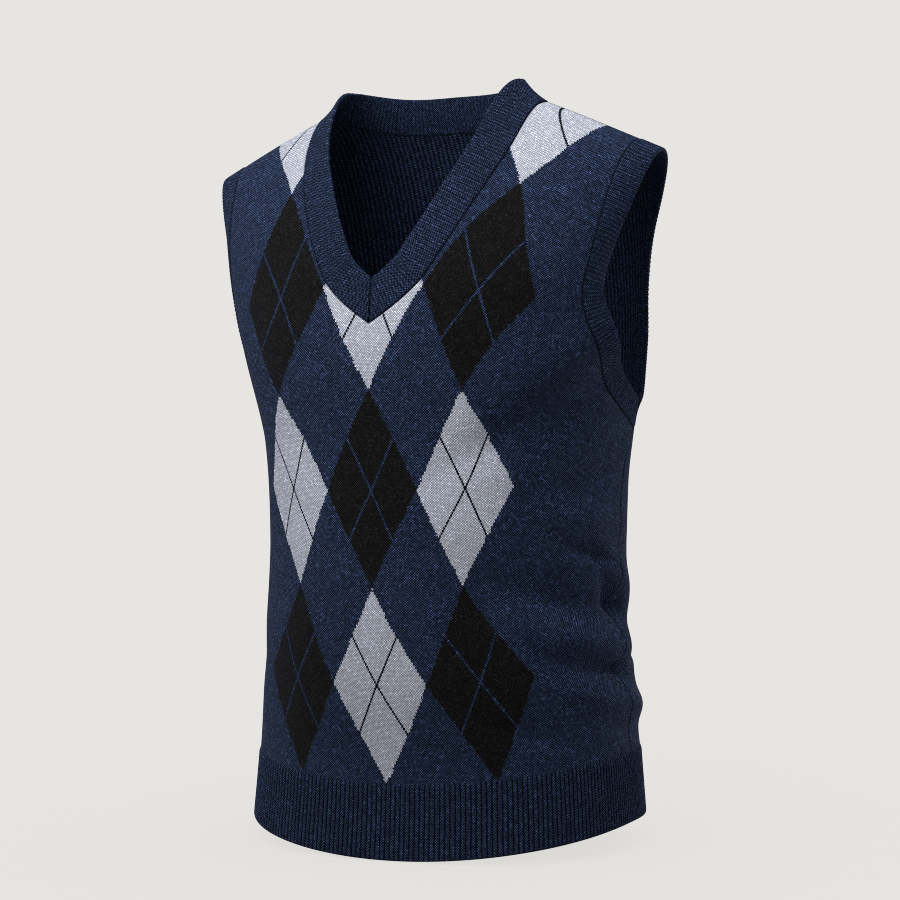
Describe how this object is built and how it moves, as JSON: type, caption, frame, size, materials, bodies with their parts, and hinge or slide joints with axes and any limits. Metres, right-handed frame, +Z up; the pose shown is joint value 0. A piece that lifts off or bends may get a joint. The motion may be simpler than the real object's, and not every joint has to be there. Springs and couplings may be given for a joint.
{
  "type": "knitted sweater vest with a v neck",
  "caption": "Sleeveless knitted vest with a deep V neck, ribbed neckband, armbands and hem, and an argyle front, in its worn hollow form.",
  "frame": {"origin": "midway between the middles of the two shoulder seams, at the height of the cloth's underside there, where the vest rests on the wearer's shoulders", "axes": "+Z up along the wearer, -Y towards the vest's front, +X towards the wearer's left"},
  "size_m": [0.4312, 0.2632, 0.6607],
  "materials": {
    "argyle_knit": "stocking-stitch knit in heathered navy yarn with black and light grey argyle diamonds and thin blue and navy overlay lines",
    "navy_knit": "stocking-stitch knit in heathered navy yarn",
    "navy_rib": "ribbed knit in heathered navy yarn"
  },
  "bodies": {
    "root": {"front_panel": "argyle_knit", "back_panel": "navy_knit", "neckband": "navy_rib", "armband_left": "navy_rib", "armband_right": "navy_rib", "front_hem_rib": "navy_rib", "back_hem_rib": "navy_rib"}
  },
  "joints": []
}
